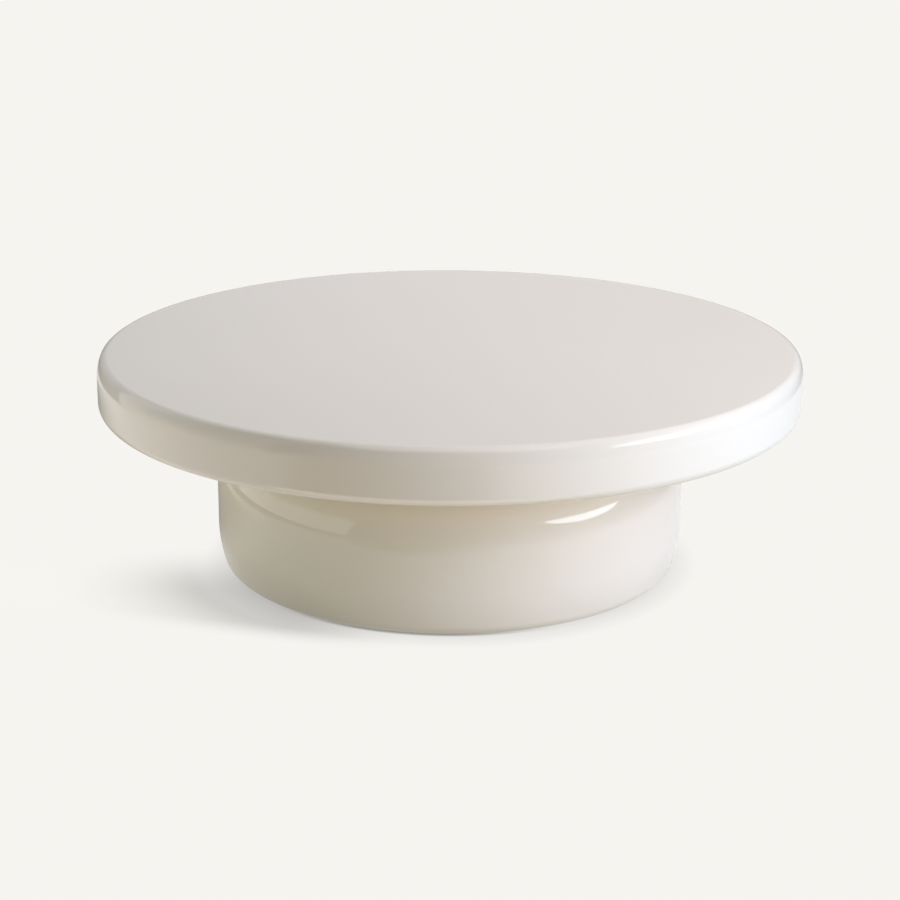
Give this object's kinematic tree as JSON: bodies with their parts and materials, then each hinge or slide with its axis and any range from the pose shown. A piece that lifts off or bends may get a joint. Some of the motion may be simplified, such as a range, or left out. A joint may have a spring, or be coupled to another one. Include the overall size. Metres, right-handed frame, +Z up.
{
  "type": "round cocktail table",
  "caption": "Round cocktail table: thick hollow disc top with rounded edges, bolted through a recessed neck to a wide hollow drum base on screw-in levelling glides.",
  "frame": {"origin": "middle of the round footprint, on the floor", "axes": "+Z up the table's axis; +X passes through a joint of the top's rim and between two glides"},
  "size_m": [1.22, 1.22, 0.388],
  "materials": {
    "cream_lacquer": "high-gloss cream lacquer over board",
    "bare_board": "bare fibreboard",
    "sealed_board": "board with a dark matt sealer",
    "beech": "bare turned beech",
    "zinc_steel": "bright zinc plate",
    "pad_nylon": "moulded dark nylon"
  },
  "bodies": {
    "table": {"tabletop_panel": "cream_lacquer", "rim_segment_1": "cream_lacquer", "rim_segment_2": "cream_lacquer", "rim_segment_3": "cream_lacquer", "rim_segment_4": "cream_lacquer", "rim_segment_5": "cream_lacquer", "rim_segment_6": "cream_lacquer", "rim_segment_7": "cream_lacquer", "rim_segment_8": "cream_lacquer", "underside_panel": "cream_lacquer", "neck_disc_upper": "cream_lacquer", "neck_disc_lower": "cream_lacquer", "shoulder_ring": "cream_lacquer", "drum_wall": "cream_lacquer", "foot_ring": "cream_lacquer", "drum_top_plate": "cream_lacquer", "spoke_rib_1": "bare_board", "spoke_rib_2": "bare_board", "spoke_rib_3": "bare_board", "spoke_rib_4": "bare_board", "spoke_rib_5": "bare_board", "spoke_rib_6": "bare_board", "spoke_rib_7": "bare_board", "spoke_rib_8": "bare_board", "hub_disc": "bare_board", "drum_rib_1": "bare_board", "drum_rib_2": "bare_board", "drum_rib_3": "bare_board", "drum_rib_4": "bare_board", "drum_rib_5": "bare_board", "drum_rib_6": "bare_board", "connector_bolts": "zinc_steel", "bolt_washers": "zinc_steel", "threaded_inserts": "zinc_steel", "top_plate_screws": "zinc_steel", "bottom_plate_screws": "zinc_steel", "glide_inserts": "zinc_steel", "bottom_plate": "sealed_board", "locating_dowels": "beech"},
    "glide_1": {"glide_pad_1": "pad_nylon"},
    "stud_1": {"glide_stud_1": "zinc_steel"},
    "glide_2": {"glide_pad_2": "pad_nylon"},
    "stud_2": {"glide_stud_2": "zinc_steel"},
    "glide_3": {"glide_pad_3": "pad_nylon"},
    "stud_3": {"glide_stud_3": "zinc_steel"},
    "glide_4": {"glide_pad_4": "pad_nylon"},
    "stud_4": {"glide_stud_4": "zinc_steel"}
  },
  "joints": [
    {"name": "glide_1_travel", "type": "slide", "parent": "table", "child": "glide_1", "axis": [0, 0, -1], "range_m": [0, 0.01]},
    {"name": "stud_1_turn", "type": "hinge", "parent": "glide_1", "child": "stud_1", "pos_m": [0.21474, 0.21474, 0], "axis": [0, 0, -1], "range_deg": [0, 2880]},
    {"name": "glide_2_travel", "type": "slide", "parent": "table", "child": "glide_2", "axis": [0, 0, -1], "range_m": [0, 0.01]},
    {"name": "stud_2_turn", "type": "hinge", "parent": "glide_2", "child": "stud_2", "pos_m": [-0.21474, 0.21474, 0], "axis": [0, 0, -1], "range_deg": [0, 2880]},
    {"name": "glide_3_travel", "type": "slide", "parent": "table", "child": "glide_3", "axis": [0, 0, -1], "range_m": [0, 0.01]},
    {"name": "stud_3_turn", "type": "hinge", "parent": "glide_3", "child": "stud_3", "pos_m": [-0.21474, -0.21474, 0], "axis": [0, 0, -1], "range_deg": [0, 2880]},
    {"name": "glide_4_travel", "type": "slide", "parent": "table", "child": "glide_4", "axis": [0, 0, -1], "range_m": [0, 0.01]},
    {"name": "stud_4_turn", "type": "hinge", "parent": "glide_4", "child": "stud_4", "pos_m": [0.21474, -0.21474, 0], "axis": [0, 0, -1], "range_deg": [0, 2880]}
  ],
  "couplings": [
    {"joint": "glide_1_travel", "follows": "stud_1_turn", "m_per_rad": 0.00019894},
    {"joint": "glide_2_travel", "follows": "stud_2_turn", "m_per_rad": 0.00019894},
    {"joint": "glide_3_travel", "follows": "stud_3_turn", "m_per_rad": 0.00019894},
    {"joint": "glide_4_travel", "follows": "stud_4_turn", "m_per_rad": 0.00019894}
  ]
}
